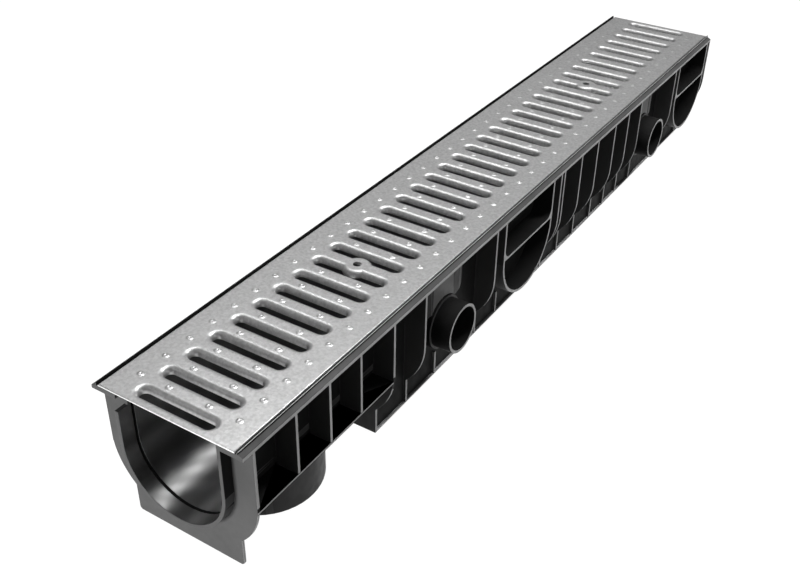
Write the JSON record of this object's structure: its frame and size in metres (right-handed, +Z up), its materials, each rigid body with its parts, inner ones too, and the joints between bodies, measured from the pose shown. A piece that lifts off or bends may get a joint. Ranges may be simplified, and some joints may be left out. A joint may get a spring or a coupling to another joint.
{
  "type": "channel drain",
  "caption": "Linear surface drain: ribbed black plastic channel body with outlet stubs, tongue and bell ends, under a slotted pressed steel grating that rests in its rim.",
  "frame": {"origin": "middle of the footprint, on the surface that the channel stands on", "axes": "+Y along the channel from the tongue end to the bell end, +X to the right seen from the tongue end, +Z up to the grating"},
  "size_m": [0.17, 1.0096, 0.136],
  "materials": {
    "black_plastic": "satin moulded black plastic",
    "galvanised_steel": "pressed sheet steel, hot-dip galvanised, light grey"
  },
  "bodies": {
    "root": {"channel_body": "black_plastic", "grating": "galvanised_steel"}
  },
  "joints": []
}
